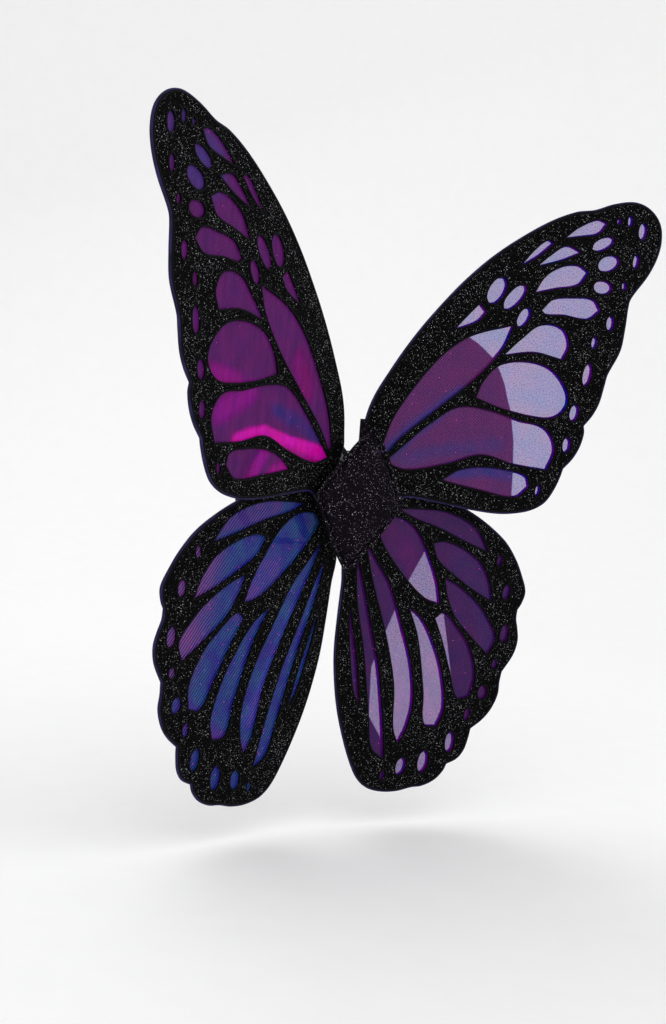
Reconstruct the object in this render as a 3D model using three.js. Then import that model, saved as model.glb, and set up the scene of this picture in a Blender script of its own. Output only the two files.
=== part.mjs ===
// Fairy wings: four film wings on a padded diamond, with elastic shoulder straps.
// Millimetres, +Z up. The decorated side faces -Y and the wearer stands on the +Y side.
// The origin is the middle of the flat rear face that rests on the wearer's back.
import * as THREE from 'three';

// ---- driving dimensions -------------------------------------------------

const PAD = { halfWidth: 42, halfHeight: 55, crown: 9, y: -30, squareness: 1.16, steps: 28 };
const COVER_WALL = 1.2;
const GAP = 0.35;

const WING_X = 25;            // the wing planes are drawn from this distance off centre
const FILM_HALF = 0.15;
const OVERLAY = { inner: 0.9, outer: 1.5 };
const WIRE = { radius: 0.6, inset: 3.2, sides: 6 };
const FILM_INSET = 4.4;
const BINDING = { inner: 0.35, outer: 1.7, half: 1.5, bulge: 0.9 };
const REAR_SHRINK = 0.9;      // the rear openings are this much smaller all round
const CASING = { half: 1.5, hole: 1.15, margin: 7 };
const BOARD = { offset: 5.3, thickness: 1.5 };
const LINING = { front: 0.3, back: 1 };
const PIPING = { radius: 1.6, out: 2.2, forward: 0.8 };
const TAB = { halfWidth: 4, bottom: 40, top: 69, front: 1.4, back: 2.8 };
const WEDGE = { halfWidth: 24, halfHeight: 28, behindPad: 3.2 };
const REAR_FOAM = { halfWidth: 32, halfHeight: 29 };
const REAR_COVER_SCALE = 0.86;
const NOSE = 6;               // the foam blocks are flat this far from the middle of the V
const STRAP = { width: 10, thickness: 1.2, x: 18, splay: 0.15, splayFrom: 6, steps: 44 };
const SLIDER = { halfWidth: 8, halfHeight: 2.6, halfLength: 5, slotWidth: 5.9, slotHeight: 1.1 };

// sweep brings the outer edge towards the viewer, lean tips the lower edge towards the wearer;
// casingReach is how far the root casing stands back to meet the core board
const UPPER = { sweep: 19, lean: 0, y: -18.5, z: 0, casingReach: 3.2 };
const LOWER = { sweep: 10, lean: 5.5, y: -15, z: -20, casingReach: 0 };

// ---- materials ----------------------------------------------------------

const paint = (color, roughness, metalness = 0, opacity = 1) => new THREE.MeshStandardMaterial({
  color, roughness, metalness, opacity, transparent: opacity < 1,
});
const BLACK_GLITTER = paint(0x16161a, 0.6);
const FILM = paint(0x7a5ab4, 0.25, 0, 0.6);
const EDGE_FILM = paint(0x5a5ab0, 0.3);
const STEEL = paint(0x9a9aa0, 0.35, 0.9);
const FOAM = paint(0x2a2a2e, 0.9);
const CARD = paint(0x3a3a3e, 0.8);
const FABRIC = paint(0x121214, 0.85);
const PLASTIC = paint(0x101012, 0.4);

// ---- outlines, drawn in the plane of the right wing as [outwards, height] ----

// The outer edge of each wing, from the inner end of the root to its outer end.
const UPPER_EDGE = [
  [-14, 40], [-14, 58], [-11, 76], [-5, 92], [5, 110], [17, 130], [32, 152], [50, 175],
  [70, 198], [94, 221], [120, 241], [148, 259], [172, 270], [190, 274], [210, 282],
  [230, 286], [245, 282], [256, 271], [259, 256], [256, 240], [248, 223], [234, 203],
  [231, 196], [229, 172], [226, 152], [215, 129], [213, 120], [209, 103], [203, 91],
  [195, 81], [196, 74], [193, 62], [187, 51], [178, 41], [176, 34], [171, 22], [163, 10],
  [152, 3], [138, -1], [118, -3], [90, -1], [60, 3], [32, 6], [15.5, 4],
];
const LOWER_EDGE = [
  [15.5, -3.5], [25, 4], [40, 9], [60, 8], [84, 1], [106, -8], [126, -19], [144, -32],
  [157, -47], [166, -62], [172, -76], [170, -86], [166, -93], [166, -102], [169, -112],
  [171, -123], [168, -136], [158, -152], [157, -162], [157, -174], [152, -187], [144, -197],
  [132, -206], [131, -214], [128, -226], [122, -234], [111, -239], [108, -246], [100, -254],
  [88, -259], [77, -260], [62, -263], [46, -263], [31, -259], [20, -250], [10, -233],
  [0, -210], [-8, -187], [-14, -162], [-18, -135], [-19, -105], [-19, -75], [-19, -46.5],
];

// The straight line that each wing bends about, under the rim of the diamond.
const UPPER_HINGE = [[-18, 37.4], [9, 4.7]];
const LOWER_HINGE = [[-18, -38.3], [9, -4.2]];

// Large cells, each a closed outline of points [outwards, height].
const UPPER_CELLS = [
  [[2, 43], [12, 73], [32, 105], [54, 132], [80, 151], [119, 164], [110, 142], [86, 114],
    [52, 84], [22, 58], [7, 40]],
  [[7, 34], [24, 50], [46, 70], [72, 87], [100, 87], [132, 80], [158, 75], [169, 58],
    [163, 38], [130, 41], [98, 47], [66, 37], [28, 29]],
  [[62, 22], [78, 32], [100, 36], [124, 35], [143, 31], [147, 22], [134, 12], [98, 16]],
  [[88, 97], [94, 112], [108, 127], [132, 133], [158, 129], [175, 113], [178, 98], [166, 86],
    [144, 85], [112, 90]],
  [[112, 137], [128, 153], [146, 167], [167, 166], [175, 152], [170, 138], [142, 142]],
  [[145, 180], [156, 191], [178, 195], [196, 195], [204, 186], [192, 177], [168, 178],
    [150, 177]],
  [[137, 195], [146, 210], [162, 221], [178, 224], [189, 219], [180, 207], [158, 201]],
  [[138, 219], [150, 230], [165, 240], [180, 236], [162, 227]],
  [[121, 217], [134, 233], [146, 243], [152, 241], [138, 228]],
  [[163, 247], [176, 258], [194, 267], [204, 265], [196, 255], [178, 250]],
  [[63, 155], [74, 168], [85, 180], [92, 173], [84, 164]],
];
const LOWER_CELLS = [
  [[28, -6], [50, -5], [74, -6], [96, -12], [113, -22], [126, -40], [104, -33], [72, -21],
    [44, -13]],
  [[6, -22], [14, -14], [34, -15], [51, -27], [66, -50], [77, -72], [82, -90], [66, -85],
    [44, -68], [20, -43]],
  [[67, -35], [80, -33], [102, -40], [121, -52], [132, -68], [138, -86], [118, -77],
    [92, -62], [74, -49]],
  [[84, -66], [100, -73], [122, -88], [138, -105], [147, -121], [141, -136], [122, -121],
    [100, -101], [89, -82]],
  [[79, -103], [88, -98], [104, -111], [120, -130], [130, -156], [127, -176], [114, -177],
    [103, -154], [90, -124]],
  [[51, -94], [66, -105], [80, -125], [93, -152], [101, -186], [96, -204], [82, -201],
    [77, -172], [64, -122]],
  [[-2, -35], [14, -56], [28, -74], [44, -108], [60, -146], [67, -180], [64, -204],
    [57, -220], [50, -204], [45, -164], [30, -118], [10, -70]],
  [[-9, -48], [2, -76], [14, -112], [27, -150], [38, -198], [44, -234], [30, -222],
    [23, -192], [10, -134], [-3, -88]],
  [[-10, -92], [-4, -114], [5, -148], [12, -184], [4, -168], [-6, -122]],
];

// Ovals: [outwards, height, half length, half width, tilt of the long axis in degrees].
const UPPER_OVALS = [
  [201, 246, 12.5, 5.2, 28], [208, 229, 11.5, 7, 24], [204, 207, 9.6, 6.2, 3],
  [128, 172, 10.3, 5.2, 60], [118, 189, 15.5, 6.2, 49], [100, 193, 14, 7.4, 60],
];
const UPPER_SPOTS = [
  [215, 268, 3.4, 2, 75], [226.5, 269.5, 5.6, 2.8, 88], [240, 262, 8.6, 4.4, 84],
  [235.5, 234, 7.2, 3.3, 82], [225.5, 210.5, 4.4, 2.5, 90], [214.5, 175.5, 7.6, 4.1, 85],
  [200, 156.5, 6.2, 3.1, 82], [195.5, 127, 11.6, 4.5, 80], [185.5, 91.5, 8.4, 4.6, 78],
  [180.5, 62, 7.6, 4.1, 85], [155.5, 19, 5.6, 2.6, 80],
];
const LOWER_SPOTS = [
  [140, -48, 5.8, 2.7, 80], [152, -77, 7.6, 4.2, 85], [156, -116, 9.2, 4.6, 88],
  [150, -145, 4.8, 3.2, 85], [140.5, -172, 6.6, 5, 90], [127, -193, 6.6, 3.1, 86],
  [112, -219, 10.6, 4.9, 92], [86, -237, 11.2, 5.5, 86], [63, -241, 8.8, 5.2, 82],
  [45, -249, 4.8, 2.4, 80],
];

// One half of the stiff board under the pad.
const BOARD_OUTLINE = [[-19.5, 35], [6.5, 4.5], [8.5, 0], [6.5, -4.5], [-19.5, -35]];

// ---- plane outline helpers ---------------------------------------------

const vec = (points) => points.map(([u, v]) => new THREE.Vector2(u, v));

function oval([u, v, halfLength, halfWidth, tilt], count) {
  const axis = THREE.MathUtils.degToRad(tilt);
  return Array.from({ length: count }, (_, i) => {
    const turn = (2 * Math.PI * i) / count;
    return new THREE.Vector2(halfLength * Math.cos(turn), halfWidth * Math.sin(turn))
      .rotateAround(new THREE.Vector2(), axis)
      .add(new THREE.Vector2(u, v));
  });
}

// Outward mitre direction at point i of a closed or open run of points.
function mitre(points, i, closed, ccw) {
  const count = points.length;
  const before = points[closed ? (i + count - 1) % count : Math.max(i - 1, 0)];
  const after = points[closed ? (i + 1) % count : Math.min(i + 1, count - 1)];
  const here = points[i];
  const inward = here.clone().sub(before);
  const onward = after.clone().sub(here);
  if (inward.length() === 0) inward.copy(onward);
  if (onward.length() === 0) onward.copy(inward);
  const side = ccw ? -1 : 1;
  const first = new THREE.Vector2(-inward.y, inward.x).normalize().multiplyScalar(side);
  const second = new THREE.Vector2(-onward.y, onward.x).normalize().multiplyScalar(side);
  const middle = first.add(second).normalize();
  return middle.multiplyScalar(1 / Math.max(0.6, middle.dot(second)));
}

function offset(points, distance, closed = true) {
  const ccw = THREE.ShapeUtils.area(points) > 0;
  return points.map((point, i) => (
    point.clone().addScaledVector(mitre(points, i, closed, ccw), distance)
  ));
}

function foot(point, [start, end]) {
  const line = new THREE.Line3(
    new THREE.Vector3(start[0], start[1], 0),
    new THREE.Vector3(end[0], end[1], 0),
  );
  const spot = new THREE.Vector3(point.x, point.y, 0);
  const near = line.closestPointToPoint(spot, false, new THREE.Vector3());
  return new THREE.Vector2(near.x, near.y);
}

// ---- solids -------------------------------------------------------------

function mesh(name, geometry, material) {
  const piece = new THREE.Mesh(geometry, material);
  piece.name = name;
  return piece;
}

// Flat sheet: outline with holes in the XZ plane, between two depths along Y.
function sheet(outline, holes, front, back) {
  const turnsLeft = !THREE.ShapeUtils.isClockWise(outline);
  const shape = new THREE.Shape(turnsLeft ? outline : [...outline].reverse());
  shape.holes = holes.map((hole) => new THREE.Path(hole));
  const geometry = new THREE.ExtrudeGeometry(shape, { depth: back - front, bevelEnabled: false });
  geometry.rotateX(Math.PI / 2);
  geometry.translate(0, back, 0);
  return geometry;
}

// Solid skinned over rings of points; closed in a loop, or capped at both ends.
function skin(rings, loop) {
  const size = rings[0].length;
  const positions = rings.flat().flatMap((point) => point.toArray());
  const faces = [];
  const spans = loop ? rings.length : rings.length - 1;
  for (let i = 0; i < spans; i += 1) {
    for (let j = 0; j < size; j += 1) {
      const a = i * size + j;
      const b = i * size + ((j + 1) % size);
      const c = ((i + 1) % rings.length) * size + ((j + 1) % size);
      const d = ((i + 1) % rings.length) * size + j;
      faces.push(a, b, c, a, c, d);
    }
  }
  if (!loop) {
    const last = (rings.length - 1) * size;
    for (let j = 1; j < size - 1; j += 1) {
      faces.push(0, j + 1, j, last, last + j, last + j + 1);
    }
  }
  const geometry = new THREE.BufferGeometry();
  geometry.setAttribute('position', new THREE.Float32BufferAttribute(positions, 3));
  geometry.setIndex(faces);
  return facingOut(geometry);
}

// Turns a closed solid inside out when its volume comes out negative.
function facingOut(geometry) {
  const flat = geometry.toNonIndexed();
  const spots = flat.getAttribute('position');
  const corner = [new THREE.Vector3(), new THREE.Vector3(), new THREE.Vector3()];
  let volume = 0;
  for (let i = 0; i < spots.count; i += 3) {
    corner.forEach((point, k) => point.fromBufferAttribute(spots, i + k));
    volume += corner[0].dot(corner[1].clone().cross(corner[2]));
  }
  if (volume < 0) {
    const index = geometry.getIndex().array;
    for (let i = 0; i < index.length; i += 3) {
      [index[i + 1], index[i + 2]] = [index[i + 2], index[i + 1]];
    }
  }
  geometry.computeVertexNormals();
  return geometry;
}

// Section of [sideways, depth] points swept along a run of points in the XZ plane.
function sweep(points, section, loop) {
  const ccw = THREE.ShapeUtils.area(points) > 0;
  const rings = points.map((point, i) => {
    const out = mitre(points, i, loop, ccw);
    return section.map(([across, depth]) => new THREE.Vector3(
      point.x + out.x * across,
      depth,
      point.y + out.y * across,
    ));
  });
  return skin(rings, loop);
}

const polygon = (radius, sides) => Array.from({ length: sides }, (_, i) => {
  const turn = (2 * Math.PI * (i + 0.5)) / sides;
  return [radius * Math.cos(turn), radius * Math.sin(turn)];
});

// Moves geometry drawn in the plane of a wing to its place on the body.
function place(geometry, wing, side) {
  geometry.translate(0, 0, -wing.z);
  geometry.rotateX(THREE.MathUtils.degToRad(wing.lean));
  geometry.rotateZ(THREE.MathUtils.degToRad(-side * wing.sweep));
  return geometry.translate(side * WING_X, wing.y, wing.z);
}

// ---- one wing -----------------------------------------------------------

function wingPieces(name, wing, side, edge, hinge, cells, ovals, spots) {
  const turned = (points) => points.map((point) => new THREE.Vector2(side * point.x, point.y));
  const outline = vec(edge);
  const holes = [
    ...cells.map(vec),
    ...ovals.map((shape) => oval(shape, 8)),
    ...spots.map((shape) => oval(shape, 6)),
  ];
  const inset = offset(outline, -WIRE.inset);
  const wire = [...inset, foot(inset.at(-1), hinge), foot(inset[0], hinge)];
  const smaller = holes.map((hole) => offset(hole, -REAR_SHRINK));
  const { inner, outer } = OVERLAY;
  const rolled = [
    [BINDING.inner, -BINDING.half], [BINDING.outer, -BINDING.bulge],
    [BINDING.outer, BINDING.bulge], [BINDING.inner, BINDING.half],
  ];
  const film = turned(offset(outline, -FILM_INSET));
  const flat = turned(outline);
  const piece = (suffix, geometry, material) => (
    mesh(`${name}_${suffix}`, place(geometry, wing, side), material)
  );
  return [
    piece('wire', sweep(turned(wire), polygon(WIRE.radius, WIRE.sides), true), STEEL),
    piece('film', sheet(film, [], -FILM_HALF, FILM_HALF), FILM),
    piece('front_overlay', sheet(flat, holes.map(turned), -outer, -inner), BLACK_GLITTER),
    piece('rear_overlay', sheet(flat, smaller.map(turned), inner, outer), BLACK_GLITTER),
    piece('edge_binding', sweep(flat, rolled, false), EDGE_FILM),
    piece('root_casing', rootCasing(hinge, side, wing.casingReach), FABRIC),
  ];
}

// Block with a bore for the root wire; it reaches back to the core board.
function rootCasing([start, end], side, reach) {
  const from = new THREE.Vector2(side * start[0], start[1]);
  const to = new THREE.Vector2(side * end[0], end[1]);
  const along = to.clone().sub(from).normalize();
  const length = from.distanceTo(to) - 2 * CASING.margin;
  const { half, hole } = CASING;
  const back = half + reach;
  const shape = new THREE.Shape(vec([[-half, -half], [half, -half], [half, back], [-half, back]]));
  shape.holes = [new THREE.Path(vec(polygon(hole, 6)))];
  const geometry = new THREE.ExtrudeGeometry(shape, { depth: length, bevelEnabled: false });
  const start3 = from.clone().addScaledVector(along, CASING.margin);
  const axis = new THREE.Vector3(along.x, 0, along.y);
  const depth = new THREE.Vector3(0, 1, 0);
  const across = depth.clone().cross(axis);
  geometry.applyMatrix4(new THREE.Matrix4().makeBasis(across, depth, axis));
  return geometry.translate(start3.x, 0, start3.y);
}

// ---- the diamond pads ---------------------------------------------------

// Point of the rounded diamond rim at a turn, scaled and grown outwards.
function rim(turn, scale = 1, grow = 0) {
  const power = 2 / PAD.squareness;
  const reach = (value) => Math.sign(value) * Math.abs(value) ** power;
  const x = PAD.halfWidth * reach(Math.cos(turn));
  const z = PAD.halfHeight * reach(Math.sin(turn));
  const out = new THREE.Vector2(x / PAD.halfWidth ** 2, z / PAD.halfHeight ** 2).normalize();
  return new THREE.Vector2(x * scale + out.x * grow, z * scale + out.y * grow);
}

const DOME_SCALES = [0.02, 0.35, 0.65, 0.86, 1];
const turns = () => Array.from({ length: PAD.steps }, (_, i) => (2 * Math.PI * i) / PAD.steps);
const domeHeight = (scale, crown) => crown * (1 - scale ** 2.4) ** 0.75;

// Rings of a dome from its rim to its top, facing the viewer.
function domeRings(scales, crown, base, grow) {
  return scales.map((scale) => turns().map((turn) => {
    const spot = rim(turn, scale, grow * scale);
    return new THREE.Vector3(spot.x, base - domeHeight(scale, crown), spot.y);
  }));
}

function padCover() {
  const outside = domeRings(DOME_SCALES, PAD.crown, PAD.y, 0);
  const inward = [...DOME_SCALES].reverse();
  const inside = domeRings(inward, PAD.crown - COVER_WALL, PAD.y, -COVER_WALL);
  return skin([...outside, ...inside], false);
}

function padFoam() {
  const depth = PAD.crown - 2 * COVER_WALL - GAP;
  return skin(domeRings(DOME_SCALES, depth, PAD.y, -2 * COVER_WALL), false);
}

function padLining() {
  return sheet(turns().map((turn) => rim(turn)), [], PAD.y + LINING.front, PAD.y + LINING.back);
}

function padPiping() {
  const run = turns().map((turn) => rim(turn, 1, PIPING.out));
  const geometry = sweep(run, polygon(PIPING.radius, 6), true);
  return geometry.translate(0, PAD.y - PIPING.forward, 0);
}

function topTab() {
  const { halfWidth, bottom, top, front, back } = TAB;
  const outline = [[-halfWidth, bottom], [halfWidth, bottom], [halfWidth, top], [-halfWidth, top]];
  return sheet(vec(outline), [], PAD.y + front, PAD.y + back);
}

// Depth of a plane of the board, a distance behind the wing plane, at x from the middle.
const boardDepth = (x, behind) => {
  const slope = THREE.MathUtils.degToRad(UPPER.sweep);
  return UPPER.y - (x - WING_X) * Math.tan(slope) + behind / Math.cos(slope);
};

function coreBoard(side) {
  const turned = vec(BOARD_OUTLINE.map(([u, v]) => [side * u, v]));
  const geometry = sheet(turned, [], BOARD.offset, BOARD.offset + BOARD.thickness);
  return place(geometry, UPPER, side);
}

// Solid between a flat face and the open V of the two boards, narrower at its top and bottom.
function vBlock({ halfWidth, halfHeight }, flatY, behind) {
  const section = (width) => {
    const nose = Math.min(NOSE, width);
    return [
      [-width, flatY], [width, flatY], [width, boardDepth(width, behind)],
      [nose, boardDepth(nose, behind)], [-nose, boardDepth(nose, behind)],
      [-width, boardDepth(width, behind)],
    ];
  };
  const levels = [[-1, 0.18], [-0.5, 0.59], [0, 1], [0.5, 0.59], [1, 0.18]];
  return skin(levels.map(([level, share]) => (
    section(halfWidth * share).map(([x, y]) => new THREE.Vector3(x, y, level * halfHeight))
  )), false);
}

function rearCover() {
  return sheet(turns().map((turn) => rim(turn, REAR_COVER_SCALE)), [], -COVER_WALL, 0);
}

// ---- straps -------------------------------------------------------------

// Centre line of a strap as [back, height]: it leaves the pad over its top edge, loops round
// the arm and comes back under the lower edge.
const STRAP_RUN = [
  [-2.8, 24], [-2.8, 30], [-2.6, 35.5], [1.5, 39], [9, 40.5], [28, 41], [58, 41], [84, 36],
  [100, 18], [104, -2], [100, -21], [84, -38], [64, -42], [44, -42], [24, -42], [9, -40.8],
  [1.5, -39], [-2.6, -35.5], [-2.8, -30], [-2.8, -24],
];
const SLIDER_AT = [44, -42];

function strap(side) {
  const points = new THREE.SplineCurve(vec(STRAP_RUN)).getPoints(STRAP.steps);
  const ccw = THREE.ShapeUtils.area(points) > 0;
  const corners = [[-1, -1], [1, -1], [1, 1], [-1, 1]];
  const rings = points.map((point, i) => {
    const out = mitre(points, i, false, ccw).multiplyScalar(STRAP.thickness / 2);
    const middle = STRAP.x + STRAP.splay * Math.max(0, point.x - STRAP.splayFrom);
    return corners.map(([across, deep]) => new THREE.Vector3(
      side * (middle + (across * STRAP.width) / 2),
      point.x + out.x * deep,
      point.y + out.y * deep,
    ));
  });
  return skin(rings, false);
}

// Adjuster: a flat frame with one slot that the strap runs through.
function slider(side) {
  const { halfWidth, halfHeight, halfLength, slotWidth, slotHeight } = SLIDER;
  const box = (width, height) => vec([
    [-width, -height], [width, -height], [width, height], [-width, height],
  ]);
  const frame = box(halfWidth, halfHeight);
  const geometry = sheet(frame, [box(slotWidth, slotHeight)], -halfLength, halfLength);
  const [y, z] = SLIDER_AT;
  geometry.rotateZ(-side * Math.atan(STRAP.splay));
  return geometry.translate(side * (STRAP.x + STRAP.splay * (y - STRAP.splayFrom)), y, z);
}

// ---- assembly -----------------------------------------------------------

const group = new THREE.Group();
group.name = 'fairy_wings';
for (const [word, side] of [['right', 1], ['left', -1]]) {
  group.add(...wingPieces(
    `upper_${word}`, UPPER, side, UPPER_EDGE, UPPER_HINGE, UPPER_CELLS, UPPER_OVALS, UPPER_SPOTS,
  ));
  group.add(...wingPieces(
    `lower_${word}`, LOWER, side, LOWER_EDGE, LOWER_HINGE, LOWER_CELLS, [], LOWER_SPOTS,
  ));
  group.add(mesh(`core_board_${word}`, coreBoard(side), CARD));
  group.add(mesh(`${word}_strap`, strap(side), FABRIC));
  group.add(mesh(`${word}_slider`, slider(side), PLASTIC));
}
group.add(mesh('front_pad_cover', padCover(), BLACK_GLITTER));
group.add(mesh('front_pad_foam', padFoam(), FOAM));
group.add(mesh('front_pad_lining', padLining(), FABRIC));
group.add(mesh('front_pad_piping', padPiping(), BLACK_GLITTER));
group.add(mesh('top_tab', topTab(), BLACK_GLITTER));
const wedge = vBlock(WEDGE, PAD.y + WEDGE.behindPad, BOARD.offset - GAP);
const rearFoam = vBlock(REAR_FOAM, -COVER_WALL - GAP, BOARD.offset + BOARD.thickness + GAP);
group.add(mesh('filler_wedge', wedge, FOAM));
group.add(mesh('rear_pad_foam', rearFoam, FOAM));
group.add(mesh('rear_pad_cover', rearCover(), FABRIC));

export default group;
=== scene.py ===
"""Fairy wings: the looks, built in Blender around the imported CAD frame. Metres, +Z up.

The decorated side faces -Y and the wearer stands on the +Y side. A wing piece is drawn in
the plane of its wing (x across, y depth, z height) and its object's matrix puts it in place,
so object coordinates in a wing's material are coordinates in the plane of that wing.
"""

import math

import bmesh
import bpy
import numpy as np
from mathutils import Matrix, Vector, noise


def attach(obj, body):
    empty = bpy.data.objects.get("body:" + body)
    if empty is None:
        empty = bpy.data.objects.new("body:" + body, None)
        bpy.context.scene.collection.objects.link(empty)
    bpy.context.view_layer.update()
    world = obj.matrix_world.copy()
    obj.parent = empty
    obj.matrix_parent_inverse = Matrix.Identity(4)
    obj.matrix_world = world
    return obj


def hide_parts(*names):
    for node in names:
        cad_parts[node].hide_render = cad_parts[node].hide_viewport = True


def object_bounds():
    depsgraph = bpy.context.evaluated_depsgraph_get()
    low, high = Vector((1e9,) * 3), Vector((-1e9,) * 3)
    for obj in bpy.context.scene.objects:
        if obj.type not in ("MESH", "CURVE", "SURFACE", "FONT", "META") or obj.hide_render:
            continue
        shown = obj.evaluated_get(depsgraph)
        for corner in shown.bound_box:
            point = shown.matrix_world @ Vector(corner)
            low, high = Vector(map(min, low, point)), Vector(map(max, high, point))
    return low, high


MM = 0.001

# ---- driving dimensions, in millimetres and degrees ---------------------------

# Planes and hinge lines of the wings, as in the CAD.
WING_X = 25
WINGS = {
    "upper": {"sweep": 19, "lean": 0, "y": -18.5, "z": 0, "hinge": ((-18, 37.4), (9, 4.7))},
    "lower": {"sweep": 10, "lean": 5.5, "y": -15, "z": -20, "hinge": ((-18, -38.3), (9, -4.2))},
}
SIDES = {"right": 1, "left": -1}

# Depths and widths of a wing's layers, from its middle plane.
OVERLAY = {"inner": 0.2, "outer": 1.5, "soft": 0.12}
FILM_INSET = 0.8
FILM_GRID = 3
FILM_RIPPLE = 0.12
WIRE = {"radius": 0.6, "inset": 3.2}
LIP = {"width": 1.7, "height": 0.35}
BINDING = {"inner": 0.0, "outer": 1.5, "half": 1.45, "bulge": 1.05}
# The rear openings lie a little to the viewer's left, so a dark band shows inside each opening.
REAR_SHIFT = (-1.0, 0)
# A turn sharper than this, in degrees to the left or right, stays a corner.
CORNERS = {
    "outline": {"left": 75, "right": 22, "step": 2.0},
    "opening": {"left": 75, "right": 180, "step": 1.2},
}

# The front pad's rounded diamond, how it sits on the wings, and its narrower back.
PAD = {"half_width": 45, "half_height": 59.5, "crown": 9, "y": -30, "squareness": 1.08}
PAD_SET = {"tilt": 2.5, "pitch": 2.0, "yaw": 1.0, "lean": 0.08, "shift": (-4.5, -2.8, 1.5)}
PAD_BACK = {"scale": 0.82, "depth": 3.4}
PIPING = {"radius": 1.6, "out": 1.7, "forward": 3.0}
REAR_PAD = {"scale": 0.8, "depth": 4.2}
# How each padded piece swells: remesh size, furthest move and pressure.
SWELL = {
    "front_pad": {"voxel": 2.0, "cap": 1.2, "pressure": 4.0},
    "rear_pad": {"voxel": 2.0, "cap": 0.8, "pressure": 2.0},
    "foam": {"voxel": 2.2, "cap": 0.3, "pressure": 1.0},
}
CLOTH_STEPS = 20

# The strap's run is in the side view: depth and height.
STRAP = {"width": 10, "thickness": 1.2, "x": 18, "splay": 0.15, "splay_from": 6}
STRAP_RUN = [
    (-2.8, 24), (-2.8, 30), (-2.6, 35.5), (1.5, 39), (9, 40.5), (28, 41), (58, 41), (84, 36),
    (100, 18), (104, -2), (100, -21), (84, -38), (64, -42), (44, -42), (24, -42), (9, -40.8),
    (1.5, -39), (-2.6, -35.5), (-2.8, -30), (-2.8, -24),
]

# ---- camera, floor and light, in metres and degrees --------------------------

CAMERA = {"place": (-0.7982, -1.0290, 0.0315), "turn": (88.04, -4.47, -37.49), "lens": 52.73, "sensor": 36}
STAGE = {"drop": 0.03, "front": -6, "wall": 1.6, "bend": 1.2, "height": 6, "half_width": 7, "heading": 37.6}
WORLD_STRENGTH = 0.85
LIGHTS = {
    "key": {"place": (-1.6, -1.9, 1.5), "size": 2.2, "power": 14},
    "fill": {"place": (1.9, -1.6, 0.9), "size": 2.6, "power": 5},
    "back": {"place": (0.5, 1.8, 1.8), "size": 1.5, "power": 8},
}

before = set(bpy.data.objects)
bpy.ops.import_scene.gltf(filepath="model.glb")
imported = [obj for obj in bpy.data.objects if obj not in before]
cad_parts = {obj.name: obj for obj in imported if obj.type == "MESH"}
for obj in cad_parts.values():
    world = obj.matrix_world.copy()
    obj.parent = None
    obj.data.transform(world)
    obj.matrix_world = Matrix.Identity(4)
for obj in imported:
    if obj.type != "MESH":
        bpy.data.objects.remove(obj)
cad_low, cad_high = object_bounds()


# ---- studio ---------------------------------------------------------------------


def make_camera():
    """The camera of the main view."""
    data = bpy.data.cameras.new("camera")
    data.lens = CAMERA["lens"]
    data.sensor_width = CAMERA["sensor"]
    data.clip_start = 0.05
    camera = bpy.data.objects.new("camera", data)
    bpy.context.scene.collection.objects.link(camera)
    camera.location = CAMERA["place"]
    camera.rotation_euler = tuple(math.radians(angle) for angle in CAMERA["turn"])
    bpy.context.scene.camera = camera


def make_stage():
    """A floor that curves up into a wall, far behind the object."""
    wall, bend = STAGE["wall"], STAGE["bend"]
    profile = [(STAGE["front"], 0), (wall, 0)]
    for turn in np.linspace(0.1, 1.5, 14):
        profile.append((wall + bend * math.sin(turn), bend - bend * math.cos(turn)))
    profile += [(wall + bend, bend + 0.2), (wall + bend, STAGE["height"])]
    heading = math.radians(STAGE["heading"])
    forward = Vector((math.sin(heading), math.cos(heading), 0))
    across = Vector((forward.y, -forward.x, 0))
    floor = Vector((0, 0, cad_low.z - STAGE["drop"]))
    verts = []
    for side in (-STAGE["half_width"], STAGE["half_width"]):
        for distance, height in profile:
            verts.append(tuple(floor + forward * distance + across * side + Vector((0, 0, height))))
    count = len(profile)
    faces = [(i, i + 1, count + i + 1, count + i) for i in range(count - 1)]
    mesh = bpy.data.meshes.new("backdrop")
    mesh.from_pydata(verts, [], faces)
    mesh.shade_smooth()
    backdrop = link("backdrop", mesh)
    backdrop.data.materials.append(paper())


def make_light(name, place, size, power):
    """Soft disk light aimed at the origin."""
    data = bpy.data.lights.new(name, "AREA")
    data.shape = "DISK"
    data.size = size
    data.energy = power
    light = bpy.data.objects.new(name, data)
    bpy.context.scene.collection.objects.link(light)
    light.location = place
    light.rotation_euler = (-Vector(place)).to_track_quat("-Z", "Y").to_euler()


def make_world():
    """Even white surroundings, with colours shown as they are."""
    world = bpy.data.worlds.new("studio")
    world.use_nodes = True
    background = world.node_tree.nodes["Background"]
    background.inputs["Color"].default_value = (1, 1, 1, 1)
    background.inputs["Strength"].default_value = WORLD_STRENGTH
    bpy.context.scene.world = world
    bpy.context.scene.view_settings.view_transform = "Standard"


# ---- small helpers -------------------------------------------------------------


def link(name, mesh):
    """A new object in the scene."""
    made = bpy.data.objects.new(name, mesh)
    bpy.context.scene.collection.objects.link(made)
    return made


def finished(piece, body, material):
    """Gives a piece its material and its body."""
    piece.data.materials.clear()
    piece.data.materials.append(material)
    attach(piece, body)
    return piece


def as_mesh(curve, name):
    """The mesh of a curve, which is then removed."""
    holder = link(name + "_curve", curve)
    seen = holder.evaluated_get(bpy.context.evaluated_depsgraph_get())
    mesh = bpy.data.meshes.new_from_object(seen)
    mesh.name = name
    bpy.data.objects.remove(holder)
    bpy.data.curves.remove(curve)
    return mesh


def plane_of(wing, side):
    """From the plane of a wing to the row frame."""
    up = Vector((0, 0, wing["z"] * MM))
    place = Matrix.Translation(Vector((side * WING_X * MM, wing["y"] * MM, 0)) + up)
    sweep = Matrix.Rotation(math.radians(-side * wing["sweep"]), 4, "Z")
    lean = Matrix.Rotation(math.radians(wing["lean"]), 4, "X")
    return place @ sweep @ lean @ Matrix.Translation(-up)


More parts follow.
